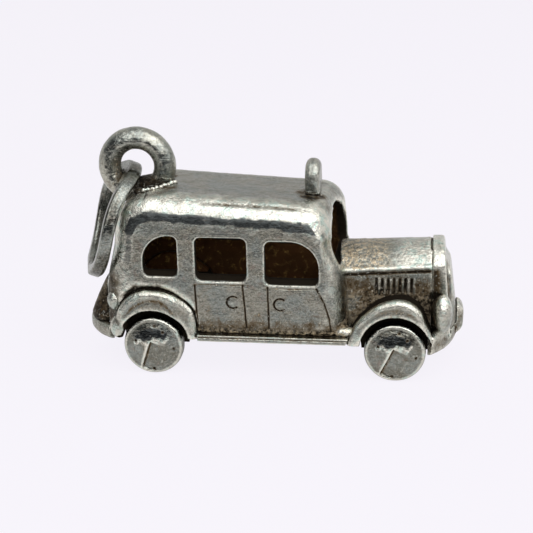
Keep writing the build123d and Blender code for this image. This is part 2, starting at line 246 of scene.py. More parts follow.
def facing(points, outward, axis, side, beyond):
    """1 where a point lies beyond a depth along an axis and looks that way, 0 elsewhere."""
    return step(0.2, 0.5, side * outward[:, axis]) * (side * points[:, axis] > beyond)


def refine(piece, strokes, axis, sides, beyond, cuts):
    """Makes the skin finer along the strokes that are about to be pressed or raised."""
    only(piece)
    bpy.ops.object.mode_set(mode="EDIT")
    bpy.ops.mesh.select_mode(type="FACE")
    bpy.ops.mesh.select_all(action="DESELECT")
    bpy.ops.object.mode_set(mode="OBJECT")
    faces = piece.data.polygons
    middles, outward = np.empty(len(faces) * 3), np.empty(len(faces) * 3)
    faces.foreach_get("center", middles)
    faces.foreach_get("normal", outward)
    middles, outward = middles.reshape(-1, 3), outward.reshape(-1, 3)
    wanted = np.zeros(len(faces), bool)
    seen = sum(facing(middles, outward, axis, side, beyond) for side in sides) > 0
    for line, width, depth, _ in strokes:
        if depth:
            reach = 2.2 * width + 0.06
            wanted |= seen & (off_line(middles, line, axis) < reach)
    faces.foreach_set("select", wanted)
    bpy.ops.object.mode_set(mode="EDIT")
    bpy.ops.mesh.subdivide(number_cuts=cuts)
    bpy.ops.object.mode_set(mode="OBJECT")


def work(piece, strokes, axis=1, sides=(-1, 1), beyond=3.0, cuts=2):
    """Presses or raises lines in a skin and stains them.

    A stroke is its line, half width, depth (less than 0 stands proud) and stain from 0 to 1.
    """
    if cuts:
        refine(piece, strokes, axis, sides, beyond, cuts)
    points, outward = points_of(piece)
    stain = layer(piece, "stain")
    for line, width, depth, soot in strokes:
        near = off_line(points, line, axis)
        for side in sides:
            seen = facing(points, outward, axis, side, beyond)
            shape = seen * fading(near, width)
            points -= outward * (depth * shape)[:, None]
            stain = np.maximum(stain, soot * seen * fading(near, 1.5 * width))
    put_points(piece, points)
    layer(piece, "stain", np.clip(stain, 0, 1))


def arc(centre, radius, start, end, count=14):
    """A run of points on a circle, from one angle to another in degrees."""
    turns = np.radians(np.linspace(start, end, count))
    return [(centre[0] + radius * math.cos(t), centre[1] + radius * math.sin(t)) for t in turns]


def window_line(row, out):
    """A window's outline, moved outwards, as a closed line in X and Z."""
    rear, front, sill, head, rear_round, front_round = row
    corners = (
        (rear + rear_round, head - rear_round, rear_round, 180, 90),
        (front - front_round, head - front_round, front_round, 90, 0),
        (front - SILL_ROUND, sill + SILL_ROUND, SILL_ROUND, 0, -90),
        (rear + SILL_ROUND, sill + SILL_ROUND, SILL_ROUND, -90, -180),
    )
    line = []
    for x, z, corner, start, end in corners:
        line += arc((x, z), corner + out, start, end, 8)
    return line + line[:1]


def line_at(line, where):
    """A broken line's second value at places along its first."""
    firsts, seconds = zip(*line)
    return np.interp(where, firsts, seconds)


def depth_in_cab(points):
    """How deep each point lies under the cab's outer form, in millimetres."""
    x, y, z = points.T
    depths = np.stack(
        (
            HALF_CAB - np.abs(y),
            line_at(ROOF_LINE, x) - z,
            line_at(FRONT_LINE, z) - x,
            x - line_at(BACK_LINE, z),
        )
    )
    return CAB_CORNER - np.linalg.norm(np.maximum(CAB_CORNER - depths, 0), axis=0)


def tree_of(names):
    """The skins of several nodes as one body to measure against, in millimetres."""
    points, faces = [], []
    for name in names:
        mesh = nodes[name].data
        first = len(points)
        points += [vertex.co / MM for vertex in mesh.vertices]
        faces += [[first + corner for corner in face.vertices] for face in mesh.polygons]
    return BVHTree.FromPolygons(points, faces)


def pulled_back(points):
    """Lets the cab's front above the bonnet fall back on its right side."""
    x, y, z = points.T
    share = np.clip((SCREEN_HALF - y) / (2 * SCREEN_HALF), 0, 1.2)
    start = SKEW_FROM - ROOF_SKEW_LEAD * step(8.7, 9.6, z) * step(-1.4, -2.6, y)
    points[:, 0] -= FRONT_SKEW * share * step(start, SKEW_TO, x) * step(6.2, 8.4, z)


def look(number, count):
    """One of a count of directions, spread evenly over a sphere."""
    height = 1 - (2 * number + 1) / count
    flat, turn = math.sqrt(1 - height * height), GOLDEN_TURN * number
    return Vector((math.cos(turn) * flat, math.sin(turn) * flat, height))


GOLDEN_TURN = 2.4  # radians from one look to the next
LOOK_COUNT = 20
GRAZING = 0.15  # looks that lie flatter on the skin than this don't count
LOOKS = [look(number, LOOK_COUNT) for number in range(LOOK_COUNT)]
fixed_tree = tree_of(frame["record"]["behaviour"]["bodies"]["charm_body"])


def shelter(piece, tree, reach=3.5, lift=0.16):
    """How shut in each point is by the castings round it, from 0 to 1."""
    points, outward = points_of(piece)
    shut = np.zeros(len(points))
    for number, (point, away) in enumerate(zip(points, outward)):
        away = Vector(away)
        start = Vector(point) + away * lift
        met = total = 0.0
        for sight in LOOKS:
            slant = sight.dot(away)
            if slant > GRAZING:
                total += slant
                if tree.ray_cast(start, sight, reach)[0] is not None:
                    met += slant
        shut[number] = met / total if total else 0
    return shut


def hollows(piece, rounds):
    """How far each point lies under its neighbours' mean, less than 0 where it stands proud."""
    count = len(piece.data.edges)
    ends = np.empty(count * 2, int)
    piece.data.edges.foreach_get("vertices", ends)
    one, two = ends.reshape(-1, 2).T
    points, outward = points_of(piece)
    share = np.bincount(ends, minlength=len(points))[:, None]
    mean = points.copy()
    for _ in range(rounds):
        total = np.zeros_like(mean)
        for axis in range(3):
            total[:, axis] = np.bincount(one, mean[two, axis], len(points))
            total[:, axis] += np.bincount(two, mean[one, axis], len(points))
        mean = total / share
    return ((mean - points) * outward).sum(axis=1)


def age(piece, tree=None, rounds=14, scale=0.03):
    """Keeps where a piece is shut in, hollow or standing proud, for its tarnish, painted shade and
    wear.
    """
    depth = hollows(piece, rounds)
    layer(piece, "hollow", np.clip(depth / scale, 0, 1))
    layer(piece, "proud", np.clip(-depth / (1.6 * scale) - 0.1, 0, 1))
    layer(piece, "shelter", shelter(piece, tree) if tree else np.zeros(len(depth)))
    for name in ("stain", "inside", "deep", "rub_and_highlight", "painted_dark_reflection", "warm"):
        layer(piece, name)  # stays 0 where the piece's own section doesn't write it


def complete(piece, body, material, slot, *stands_for):
    """Brings a piece to metres, gives it its finish and sets it on its body."""
    piece.data.transform(Matrix.Scale(MM, 4))
    piece.data.materials.clear()
    piece.data.materials.append(material)
    only(piece)
    bpy.ops.object.shade_smooth()
    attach(piece, body)
    if stands_for:
        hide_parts(*stands_for)


class Flow:
    """A number running through a finish. Arithmetic on it adds the nodes that work it out."""

    def __init__(self, finish, socket):
        self.finish = finish
        self.socket = socket

    def worked(self, operation, *values, **settings):
        """One Math node on these values."""
        settings["operation"] = operation
        return self.finish.add("ShaderNodeMath", settings, dict(enumerate(values)))

    def __add__(self, other):
        return self.worked("ADD", self, other)

    def __radd__(self, other):
        return self.worked("ADD", other, self)

    def __sub__(self, other):
        return self.worked("SUBTRACT", self, other)

    def __rsub__(self, other):
        return self.worked("SUBTRACT", other, self)

    def __mul__(self, other):
        return self.worked("MULTIPLY", self, other)

    def __rmul__(self, other):
        return self.worked("MULTIPLY", other, self)

    def clear_of(self, low, high):
        """Runs smoothly from 0 at low to 1 at high."""
        return self.finish.add(
            "ShaderNodeMapRange",
            {"interpolation_type": "SMOOTHSTEP"},
            {"Value": self, "From Min": low, "From Max": high},
        )

    def kept(self):
        """The value held between 0 and 1."""
        return self.worked("ADD", self, 0.0, use_clamp=True)


class Finish:
    """The nodes of a material or of the room, with the one method that adds any of them."""

    def __init__(self, owner):
        owner.use_nodes = True
        self.tree = owner.node_tree
        self.tree.nodes.clear()

    def add(self, kind, settings=None, inputs=None, output=0):
        """A node of one type, with its settings and then its sockets' values or links."""
        node = self.tree.nodes.new(kind)
        for name, value in (settings or {}).items():
            setattr(node, name, value)
        for key, value in (inputs or {}).items():
            if isinstance(value, Flow):
                self.tree.links.new(value.socket, node.inputs[key])
            elif isinstance(value, tuple) and len(value) == 3 and node.inputs[key].type == "RGBA":
                node.inputs[key].default_value = (*value, 1)
            else:
                node.inputs[key].default_value = value
        return Flow(self, node.outputs[output]) if node.outputs else node

    def place(self, stretch=(1, 1, 1), turn=(0, 0, 0)):
        """The piece's own millimetres, stretched and turned."""
        own = self.add("ShaderNodeTexCoord", output="Object")
        scale = tuple(part / MM for part in stretch)
        return self.add("ShaderNodeMapping", {}, {"Vector": own, "Scale": scale, "Rotation": turn})

    def noise(self, scale, detail=4.0, rough=0.55, stretch=(1, 1, 1), bend=0.0, turn=(0, 0, 0)):
        """Noise on the piece, with this many waves a millimetre."""
        return self.add(
            "ShaderNodeTexNoise",
            {},
            {
                "Vector": self.place(stretch, turn),
                "Scale": scale,
                "Detail": detail,
                "Roughness": rough,
                "Distortion": bend,
            },
        )

    def kept_layer(self, name):
        """A number that the mesh keeps at each point."""
        return self.add("ShaderNodeAttribute", {"attribute_name": name}, output="Fac")

    def blend(self, share, first, second):
        """One colour over another by a share."""
        share_socket, first_colour, second_colour, mixed_colour = 0, 6, 7, 2
        return self.add(
            "ShaderNodeMix",
            {"data_type": "RGBA", "clamp_factor": True},
            {share_socket: share, first_colour: first, second_colour: second},
            mixed_colour,
        )

    def bump(self, height, distance, below=None):
        """Relief too fine to model, in millimetres, on top of any coarser relief."""
        inputs = {"Height": height, "Distance": distance * MM, "Strength": 1.0}
        if below is not None:
            inputs["Normal"] = below
        return self.add("ShaderNodeBump", {}, inputs)

    def close_with(self, surface, output="ShaderNodeOutputMaterial"):
        """Sends a surface to the output, as what is seen."""
        self.add(output, {}, {"Surface": surface})

    def coat_with(self, colour, metallic, roughness, normal):
        """Closes the nodes with a metal's surface."""
        surface = self.add(
            "ShaderNodeBsdfPrincipled",
            {},
            {
                "Base Color": colour,
                "Metallic": metallic,
                "Roughness": roughness,
                "Specular IOR Level": 0.04,
                "Normal": normal,
            },
        )
        self.close_with(surface)


BRIGHT = (0.80, 0.78, 0.69)  # rubbed edges and painted highlights
MINT_REFLECTION = (0.62, 0.72, 0.65)  # a painted cool reflection among the highlights
GREY = (0.25, 0.243, 0.205)  # the casting where it is handled
PEWTER = (0.4, 0.395, 0.34)  # the bail
ASH = (0.15, 0.149, 0.125)  # the wheels
DUN = (0.05, 0.05, 0.042)  # the jump ring
COOL = (0.215, 0.235, 0.22)  # cloudy patches
ROSY = (0.27, 0.205, 0.175)  # copper showing through
DARK_REFLECTION = (0.05, 0.056, 0.058)  # painted dark reflection under the edges
BROWN = (0.09, 0.062, 0.033)  # thin tarnish
BLACK = (0.012, 0.009, 0.006)  # thick tarnish, and painted shade in the openings and arches
GOLD = (0.58, 0.47, 0.32)  # glints and warm films on tarnish
DEN = (0.10, 0.045, 0.018)  # the cab's inside
OCHRE = (0.50, 0.32, 0.10)  # blotches on it


def worn_silver(name, shine, pits, soot=1.0, wear=1.0, tone=GREY):
    """Cast silver: grey where handled, bright where rubbed and where highlights are painted, with
    painted dark reflections, brown to black with tarnish and painted shade where sheltered.
    """
    silver = bpy.data.materials.new(name)
    finish = Finish(silver)
    cloudy = finish.noise(0.55, 5.0, 0.6, bend=0.4)
    blotch = finish.noise(2.2, 6.0, 0.65, bend=0.6)
    fine = finish.noise(9.0, 5.0, 0.7)
    speck = finish.noise(5.5, 3.0, 0.6)
    grain = finish.noise(4.2, 4.0, 0.75)
    stain = finish.kept_layer("stain")
    hollow = finish.kept_layer("hollow")
    proud = finish.kept_layer("proud")
    closed = finish.kept_layer("shelter")
    inside = finish.kept_layer("inside")
    rub_and_highlight_layer = finish.kept_layer("rub_and_highlight")

    drift = finish.blend(cloudy.clear_of(0.42, 0.62), tone, COOL)
    drift = finish.blend(blotch.clear_of(0.55, 0.72) * 0.6, drift, ROSY)
    drift = finish.blend(grain.clear_of(0.5, 0.36) * 0.45, drift, BROWN)
    mottled = finish.blend(fine.clear_of(0.4, 0.75) * 0.3, drift, BRIGHT)
    wear_and_highlight_colour = finish.blend(blotch.clear_of(0.49, 0.6), BRIGHT, MINT_REFLECTION)
    # the bright skin is rubbed wear on proud edges together with the painted highlights kept in
    # the mesh
    wear_and_highlight = (proud * wear + rub_and_highlight_layer + (fine - 0.5) * 0.5 + (blotch - 0.5) * 0.5).kept()
    skin = finish.blend(wear_and_highlight * (proud * wear + rub_and_highlight_layer).clear_of(0.0, 0.3), mottled, wear_and_highlight_colour)

    # painted dark reflection, in bands under the edges
    dark_reflection_share = finish.kept_layer("painted_dark_reflection") + (blotch - 0.5) * 0.7 + (grain - 0.5) * 0.7
    skin = finish.blend(dark_reflection_share.clear_of(0.25, 0.8) * 0.95, skin, DARK_REFLECTION)
    pocked = speck.clear_of(0.4, 0.31) * (0.35 + rub_and_highlight_layer * 0.5)
    skin = finish.blend(pocked, skin, BROWN)

    # tarnish in hollows, and painted shade where the castings round a point shut it in
    tarnish_and_shade = stain * 1.15 + hollow * 0.6 * soot + closed.clear_of(0.3, 0.95) * 0.95 * soot
    tarnish_and_shade = tarnish_and_shade + (blotch - 0.5) * 0.9 + (speck - 0.5) * 0.8
    brown = tarnish_and_shade.clear_of(0.25, 0.75) * (1 - proud * 0.4)
    black = tarnish_and_shade.clear_of(0.62, 1.05)
    aged = finish.blend(brown, skin, BROWN)
    aged = finish.blend(black, aged, BLACK)
    glint = finish.blend(cloudy.clear_of(0.42, 0.56), GOLD, BRIGHT)
    gleam = speck.clear_of(0.58, 0.68) * brown * (1 - inside) * (1 - black * 0.5)
    aged = finish.blend(gleam * 0.8, aged, glint)
    aged = finish.blend(finish.kept_layer("warm") * grain.clear_of(0.44, 0.6), aged, GOLD)
    # inside the openings: black painted shade near the walls, and the inside's brown with ochre
    # deeper in
    den = finish.blend(blotch.clear_of(0.52, 0.7) * fine.clear_of(0.35, 0.6), DEN, OCHRE)
    den = finish.blend(finish.kept_layer("deep"), BLACK, den)
    colour = finish.blend(inside, aged, den)

    metallic = (1 - brown * 0.5) * (1 - inside * 0.9)
    hazy = cloudy.clear_of(0.35, 0.7) * 0.07
    roughness = (shine + hazy + brown * 0.28 + inside * 0.8 - wear_and_highlight * 0.04).kept()

    pitted = finish.noise(7.0, 6.0, 0.75)
    scored = finish.noise(3.0, 3.0, 0.5, stretch=(0.12, 1.0, 1.6), turn=(0.2, 0.1, 0.15))
    relief = finish.bump(scored.clear_of(0.56, 0.62), 0.006)
    relief = finish.bump(finish.noise(1.7, 3.0, 0.5), 0.12 * pits, below=relief)
    relief = finish.bump(grain, 0.05 * pits, below=relief)
    relief = finish.bump(pitted, 0.02 * pits, below=relief)
    relief = finish.bump(speck.clear_of(0.6, 0.7) * (0.3 + brown), 0.035 * pits, below=relief)
    finish.coat_with(colour, metallic, roughness, relief)
    return silver


casting_silver = worn_silver("rubbed cast silver", shine=0.12, pits=0.8)

cab = copy_of_solid("cab_shell", "cab_casting")
ledges = [  # fill the windows' lower edges to the casting's softer sills
    slab(
        (rear - 0.2, side * WALL_Y - 0.25, sill - 0.4),
        (front + 0.2, side * WALL_Y + 0.25, sill + 0.3),
    )
    for rear, front, sill, _, _, _ in WINDOWS
    for side in (-1, 1)
]
feet = [bead((5.1, side * WALL_Y, 2.8), (0.8, 0.42, 0.34)) for side in (-1, 1)]
join(cab, *ledges, *feet)
melt(cab, 0.12, 3, swell=0.05)

# Every stroke below is a line, its half width, its depth and its stain.
rims = [(window_line(row, 0.07), 0.06, -0.028, 0.0) for row in WINDOWS]
edges = [(window_line(row, 0.2), 0.06, 0.012, 0.1) for row in WINDOWS]
doors = [(line, 0.055, 0.05, 0.65) for line in DOOR_LINES]
under_sill = [
    (((rear - 0.1, sill - 0.22), (front + 0.1, sill - 0.22)), 0.05, 0.025, 0.25)
    for rear, front, sill, _, _, _ in WINDOWS[1:]
]
grips = [(arc(centre, HANDLE_RADIUS, 55, 305), 0.05, 0.06, 0.85) for centre in HANDLES]
grip_domes = [
    ((centre, (centre[0] + 0.04, centre[1])), 0.22, -0.05, 0.0) for centre in HANDLES
]
work(cab, rims + edges + doors + under_sill + grips + grip_domes)
blots = [
    (CREASE, 0.16, 0.05, 0.95),
    (((-3.7, 2.9), (4.2, 2.85)), 0.3, 0.0, 0.9),
    (((-3.6, 3.3), (4.2, 3.2)), 0.35, 0.0, 0.5),
    (((-3.6, 3.8), (4.2, 3.7)), 0.5, 0.0, 0.25),
    (((-9.2, 5.7), (-9.3, 4.4), (-9.2, 3.2)), 0.6, 0.0, 0.75),
]
work(cab, blots, cuts=0)
roof_blots = [
    (((-3.4, -3.2), (-1.2, -3.15), (0.9, -3.12), (2.7, -3.15)), 0.12, 0.04, 0.4),
    (((-8.3, -1.6), (-7.9, -2.6), (-7.0, -2.9), (-6.0, -2.4), (-5.5, -1.2)), 0.34, 0.04, 0.42),
    (((-7.9, -1.6), (-7.0, -1.9), (-6.2, -1.4)), 0.4, 0.05, 0.65),
    (((-6.2, -2.9), (-5.4, -2.2)), 0.3, 0.02, 0.25),
    (((-8.3, 1.6), (-7.0, 1.9), (-5.9, 1.0)), 0.3, 0.04, 0.35),
    (((2.5, -1.25), (3.1, -1.6), (3.5, -0.9)), 0.3, 0.03, 0.75),
    (((2.25, -0.6), (2.5, -1.3), (3.2, -1.9), (3.6, -0.8)), 0.42, 0.02, 0.45),
]
work(cab, roof_blots, axis=2, sides=(1,), beyond=9.0, cuts=0)

age(cab, fixed_tree)
points, outward = points_of(cab)
buried = depth_in_cab(points)
looks_out = ((points - np.array(CAB_MIDDLE)) * outward).sum(axis=1) > 0
buried[looks_out & (points[:, 0] < REAR_ROOF[0]) & (points[:, 2] > REAR_ROOF[1])] = 0
# the openings' walls are painted black as shade; deeper in, the inside takes its brown
layer(cab, "inside", step(SILL_SHADOW, SILL_SHADOW + 0.05, buried))
layer(cab, "deep", step(WALL - 0.1, WALL + 0.05, buried))
# painted highlights: a band along the roof's edges, strokes down the pillars and a spot on the
# front corner
edge_turn = 2 * np.abs(outward[:, 1]) * np.maximum(outward[:, 2], np.abs(outward[:, 0]))
painted_highlight = np.zeros(len(points))
for line in HIGHLIGHT_PILLARS:
    painted_highlight = np.maximum(painted_highlight, fading(off_line(points, line, 1), 0.16))
painted_highlight = np.maximum(painted_highlight, step(0.35, 0.95, edge_turn) * (points[:, 2] > 7))
off_corner = np.linalg.norm(points - np.array(FRONT_CORNER), axis=1)
layer(cab, "rub_and_highlight", np.maximum(0.42 * painted_highlight, 0.8 * fading(off_corner, 0.75)))
# a painted dark reflection in a band under the roof's edges, round the rear corner and down the
# front pillar
tilt = np.hypot(outward[:, 0], outward[:, 2])
below_edge = step(0.5, 0.3, tilt) * step(0.03, 0.12, tilt)
rear_corner = 0.6 * step(-7.2, -7.8, points[:, 0]) * step(6.0, 7.5, points[:, 2])
high = step(8.75, 9.2, points[:, 2]) + rear_corner
pillar = fading(off_line(points, DARK_REFLECTION_PILLAR, 1), 0.32)
uneven = np.where(points[:, 1] < 0, 1.0, 0.55)  # the painted dark reflection is weaker on the left side
layer(cab, "painted_dark_reflection", uneven * np.maximum(below_edge * high, 0.5 * pillar) * (buried < SILL_SHADOW))
scuttle = 0.6 * step(4.6, 5.1, points[:, 0]) * (points[:, 2] < 6)
layer(cab, "warm", 0.8 * step(3.2, 2.7, points[:, 2]) + scuttle)
pulled_back(points)
put_points(cab, points)
complete(cab, "charm_body", casting_silver, "silver_casting", "cab_shell")

# ---- The floor and the axles' bars ----
# A plain plate closes the cab below, and two bars under it carry the axles. They were
# poured with the rest. The plate was never polished and stays dark brown.
dark_silver = worn_silver(
    "sooted cast silver", shine=0.45, pits=1.2, soot=2.2, wear=0.4, tone=BROWN
)


def coat_solid(node, material):
    """Gives its finish to a solid that stays as it is."""
    skin = nodes[node].data
    skin.materials.clear()
    skin.materials.append(material)


coat_solid("floor_plate", dark_silver)
for node in ("axle_carrier_front", "axle_carrier_rear"):
    bar = copy_of_solid(node, node.replace("carrier", "bar"))
    melt(bar, 0.07, 4)
    age(bar, fixed_tree)
    complete(bar, "charm_body", casting_silver, "silver_casting", node)

# ---- The bonnet and the radiator ----
# The bonnet is a crowned block with seven upright louvres pressed in each side, and the
# radiator a leaning shell with a bulging front. Both are pitted, brown and gold at the rear.
SHOULDER = ((4.9, 6.4), (10.2, 6.7))
LOUVRES = [6.9 + 0.35 * number for number in range(7)]
pitted_silver = worn_silver("pitted cast silver", shine=0.15, pits=1.3)

bonnet = copy_of_solid("bonnet", "bonnet_casting")
melt(bonnet, 0.06, 3, swell=0.06, lump=0.5)
shoulder = [(SHOULDER, 0.12, -0.06, 0.0)]
slots = [(((x, 4.85), (x, 5.9)), 0.05, 0.03, 0.45) for x in LOUVRES]
ribs = [(((x + 0.17, 4.95), (x + 0.17, 5.85)), 0.06, -0.035, 0.0) for x in LOUVRES]
side_blots = [
    (((4.8, 6.1), (10.2, 6.4)), 0.09, 0.03, 0.7),
    (((5.3, 5.3), (10.2, 5.2)), 0.7, 0.0, 0.6),
]
for strokes in (shoulder, slots + ribs, side_blots):
    work(bonnet, strokes, beyond=1.8, cuts=0)
front_joint = [(((10.18, -1.1), (10.18, 3)), 0.08, 0.07, 0.85)]
top_blots = [
    (((5.1, -1.6), (5.3, 1.6)), 0.9, 0.0, 0.4),
    (((6.9, -1.4), (6.6, 1.6)), 0.8, 0.0, 0.25),
]
for strokes in (front_joint, top_blots):
    work(bonnet, strokes, axis=2, sides=(1,), beyond=6.0, cuts=0)
age(bonnet, fixed_tree)
points, outward = points_of(bonnet)
rear_top = step(8.2, 6.8, points[:, 0]) * (outward[:, 2] > 0.5)
low_side = 0.45 * (np.abs(outward[:, 1]) > 0.5) * step(5.6, 4.6, points[:, 2])
layer(bonnet, "warm", np.maximum(0.85 * rear_top, low_side))
# a painted highlight on the bonnet's top, stronger towards the front
layer(bonnet, "rub_and_highlight", (0.12 + 0.5 * step(7.6, 8.8, points[:, 0])) * (outward[:, 2] > 0.6))
points[:, 0] -= 0.3 * (1 - step(4.9, 5.7, points[:, 0]))
put_points(bonnet, points)
complete(bonnet, "charm_body", pitted_silver, "silver_casting", "bonnet")

radiator = copy_of_solid("radiator", "radiator_casting")
melt(radiator, 0.07, 22)
work(radiator, [(((10.42, 3.0), (10.42, 6.3)), 0.26, 0.03, 0.8)], beyond=1.9, cuts=0)
age(radiator, fixed_tree)
points, outward = points_of(radiator)
# a painted dark reflection on its sides and a painted highlight along its top
layer(radiator, "painted_dark_reflection", 0.5 * step(0.5, 0.9, np.abs(outward[:, 1])))
layer(radiator, "rub_and_highlight", 0.6 * step(5.9, 6.4, points[:, 2]) * step(-0.3, 0.3, outward[:, 2]))
complete(radiator, "charm_body", casting_silver, "silver_casting", "radiator")

# ---- Wings, running boards, bumpers, boot, lamps and sign ----
# All of these are parts of the one casting. Their tops are rubbed and painted with
# highlights in a cream gleam, the wings' arches are painted black as shade, and the corners
# where they meet the body are black.
REAR_RIDGE = (
    (-8.44, 3.97), (-8.1, 4.5), (-7.73, 4.91), (-6.89, 5.15), (-6.35, 5.21), (-5.82, 5.18),
    (-5.47, 4.8), (-4.89, 3.99), (-4.4, 2.95),
)
FRONT_RIDGE = (
    (5.65, 3.44), (5.93, 3.84), (6.52, 4.45), (7.11, 4.81), (7.81, 5.09), (8.48, 5.15),
    (9.07, 4.87), (9.55, 4.38), (9.96, 3.71), (10.17, 3.11),
)
AXLES = {"front": 8.1, "rear": -6.6}  # x of each
AXLE_Z = 1.85
ARCH_RADIUS = 2.13
ARCH_Z = 1.95  # the arches' middle, a little above the axles
WELL_WALL_Y = 3.0  # the inner side of the wheels' wells
WELL_TOP = 4.3  # above it, a rear wing's inner side shows through the windows
SKIRT_TOP, SKIRT_HALF = 2.35, 2.05  # the skirt of the wells' inner side, beside each axle
SKIRT_DROP = 0.6  # how much further it hangs in the casting than in the solid
PIN_ROOM = (0.5, 0.8)  # from an axle, between which the drop sets in, clear of the pin
WHEEL_ROOM = 1.98  # the radius that the wings keep clear round each wheel
LAMP_FACE_X = 11.2
LAMP_LENGTH = 0.7  # of the solid's, measured back from its face
SIGN_ROW = 0.1  # the width of one row of points across the sign
SIGN_ROUND = 0.5  # how far down its crown is thinned


def lowered(line, drop, axle_x):
    """A wing's ridge line, drawn in towards its axle and run smoothly."""
    places = np.array(line)
    dense = np.linspace(0, len(places) - 1, 60)
    smooth = np.stack([np.interp(dense, range(len(places)), places[:, k]) for k in (0, 1)], axis=1)
    for _ in range(60):
        smooth[1:-1] = (smooth[:-2] + smooth[2:]) / 2
    away = smooth - np.array((axle_x, AXLE_Z))
    smooth -= drop * away / np.linalg.norm(away, axis=1)[:, None]
    return [tuple(place) for place in smooth]


for side, outer in (("left", 1), ("right", -1)):
    for end, ridge in (("rear", REAR_RIDGE), ("front", FRONT_RIDGE)):
        node = f"{end}_wing_{side}"
        axle_x = AXLES[end]
        wing = copy_of_solid(node, f"{node}_casting")
        if end == "rear":
            join(wing, bead((-8.75, outer * 3.75, 2.95), (0.55, 0.55, 0.75)))
        melt(wing, 0.07, 4)
        lip = [
            (lowered(ridge, 0.3, axle_x), 0.16, 0.035, 0.3),
            (lowered(ridge, 0.75, axle_x), 0.35, 0.0, 0.42),
        ]
        work(wing, lip, beyond=3.7, cuts=0)
        age(wing, fixed_tree)
        points, _ = points_of(wing)
        ahead = np.abs(points[:, 0] - axle_x)
        far = np.hypot(points[:, 0] - axle_x, points[:, 2] - ARCH_Z)
        aside = np.abs(points[:, 1])
        under = (far < ARCH_RADIUS + 0.12) & (aside < 4.17)
        behind = aside < WELL_WALL_Y + 0.12
        # under the arches and on the wings' inner sides the skin is painted black as shade; a rear
        # wing's inner side seen through the windows takes the inside's brown
        layer(wing, "deep", (behind & (end == "rear") & (points[:, 2] > WELL_TOP)).astype(float))
        layer(wing, "inside", (under & (points[:, 2] < WELL_TOP) | behind).astype(float))
        skirt = behind & (points[:, 2] < SKIRT_TOP) & (ahead < SKIRT_HALF)
        points[:, 2] -= np.where(skirt, SKIRT_DROP * step(*PIN_ROOM, ahead), 0)
        off_axle = points[:, (0, 2)] - np.array((axle_x, AXLE_Z))
        reach = np.linalg.norm(off_axle, axis=1)
        tight = (aside > 3.2) & (reach < WHEEL_ROOM)
        points[:, (0, 2)] += off_axle * np.where(tight, WHEEL_ROOM / reach - 1, 0)[:, None]
        if end == "rear":
            tail = step(-5.4, -4.5, points[:, 0]) * (aside > 3.8)
            points[:, 1] -= np.sign(points[:, 1]) * 0.3 * tail
        put_points(wing, points)
        complete(wing, "charm_body", casting_silver, "silver_casting", node)

    node = f"running_board_{side}"
    board = copy_of_solid(node, f"{node}_casting")
    melt(board, 0.06, 2)
    work(board, [(((-4.2, 2.5), (5.7, 2.5)), 0.05, 0.05, 0.3)], beyond=3.9, cuts=1)
    age(board, fixed_tree)
    points, outward = points_of(board)
    # a painted highlight along the board's outer top edge
    layer(board, "rub_and_highlight", 0.6 * step(0.35, 0.6, outward[:, 2]) * (np.abs(points[:, 1]) > 4.0))
    complete(board, "charm_body", casting_silver, "silver_casting", node)

    for thing in ("headlamp", "tail_lamp"):
        node = f"{thing}_{side}"
        lamp = copy_of_solid(node, f"{node}_casting")
        if thing == "headlamp":  # an upright egg that swallows the drum's front
            egg = bead((10.9, outer * 3.3, 4.2), (0.58, 0.85, 1.2))
            points, _ = points_of(lamp)
            points[:, 0] = LAMP_FACE_X - (LAMP_FACE_X - points[:, 0]) * LAMP_LENGTH
            put_points(lamp, points)
            join(lamp, egg)
        melt(lamp, 0.05, 5)
        age(lamp, fixed_tree)
        if thing == "headlamp":
            points, outward = points_of(lamp)
            # a painted highlight on the headlamp's top
            layer(lamp, "rub_and_highlight", 0.7 * step(-0.2, 0.6, outward[:, 2]) * (np.abs(points[:, 1]) > 2.6))
        complete(lamp, "charm_body", casting_silver, "silver_casting", node)

for node, grain, softness, tarnish in (
    ("front_bumper", 0.075, 6, 0.42),
    ("rear_bumper", 0.07, 4, 0.35),
    ("boot", 0.08, 4, 0.8),
    ("roof_sign", 0.05, 16, 0.12),
):
    piece = copy_of_solid(node, f"{node}_casting")
    melt(piece, grain, softness)
    age(piece, fixed_tree)
    points, outward = points_of(piece)
    layer(piece, "stain", tarnish * (1 - 0.6 * np.clip(outward[:, 2], 0, 1)))
    if node in ("boot", "rear_bumper"):
        layer(piece, "proud", 0.45 * layer(piece, "proud"))
    if node == "roof_sign":
        rows = np.round(points[:, 1] / SIGN_ROW).astype(int)
        rows -= rows.min()
        tops = np.zeros(rows.max() + 1)
        np.maximum.at(tops, rows, points[:, 2])
        crown = np.clip((points[:, 2] - tops[rows] + SIGN_ROUND) / SIGN_ROUND, 0, 1)
        middle = (points[:, 0].min() + points[:, 0].max()) / 2
        points[:, 0] = middle + (points[:, 0] - middle) * np.sqrt(1 - 0.55 * crown**2)
        put_points(piece, points)
    complete(piece, "charm_body", casting_silver, "silver_casting", node)

# ---- The bail ----
# A ring of round silver bar stands upright on the roof's rear, soldered down in a rough
# dark collar with a row of beads of solder along its foot.
BAIL = (-7.93, 12.13)  # x and z of the ring's middle
BAIL_RADIUS = 1.735  # of its wire's middle line


def ring_hole(points):
    """How far each point of the bail lies inwards of its wire's middle line."""
    return BAIL_RADIUS - np.hypot(points[:, 0] - BAIL[0], points[:, 2] - BAIL[1])


